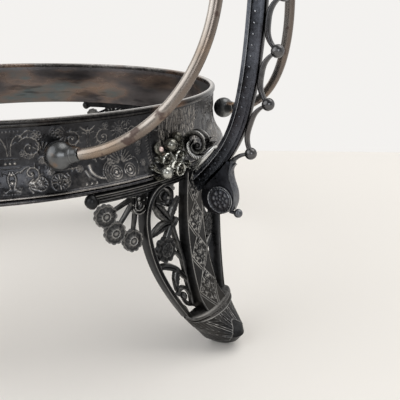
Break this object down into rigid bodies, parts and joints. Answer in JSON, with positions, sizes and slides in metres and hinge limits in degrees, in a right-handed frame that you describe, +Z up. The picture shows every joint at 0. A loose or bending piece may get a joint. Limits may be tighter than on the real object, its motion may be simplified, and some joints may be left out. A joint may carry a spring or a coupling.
{
  "type": "brides basket",
  "caption": "Silver-plated table basket frame: a round collar for a glass bowl on pierced cast feet, with a tall arched handle of beaded bar and round rods.",
  "frame": {"origin": "on the table under the middle of the collar", "axes": "+Z up, the handle arches over in the XZ plane, +X towards the handle root over foot_right"},
  "size_m": [0.1896, 0.175, 0.2695],
  "materials": {
    "oxidised_silver": "satin",
    "worn_silver": "satin",
    "cast_silver": "satin"
  },
  "bodies": {
    "root": {"collar": "oxidised_silver", "lower_moulding": "oxidised_silver", "handle_bar": "oxidised_silver", "edging_right": "oxidised_silver", "edging_left": "oxidised_silver", "rim_wire": "worn_silver", "rod_back": "worn_silver", "rod_front": "worn_silver", "knob_right_back": "worn_silver", "knob_right_front": "worn_silver", "knob_left_back": "worn_silver", "knob_left_front": "worn_silver", "foot_right": "cast_silver", "foot_back": "cast_silver", "foot_left": "cast_silver", "foot_front": "cast_silver", "terminal_plate_right": "cast_silver", "terminal_plate_left": "cast_silver", "scroll_right": "cast_silver", "scroll_left": "cast_silver", "clasp_right": "cast_silver", "clasp_left": "cast_silver", "blossoms_right": "cast_silver", "blossoms_left": "cast_silver"}
  },
  "joints": []
}
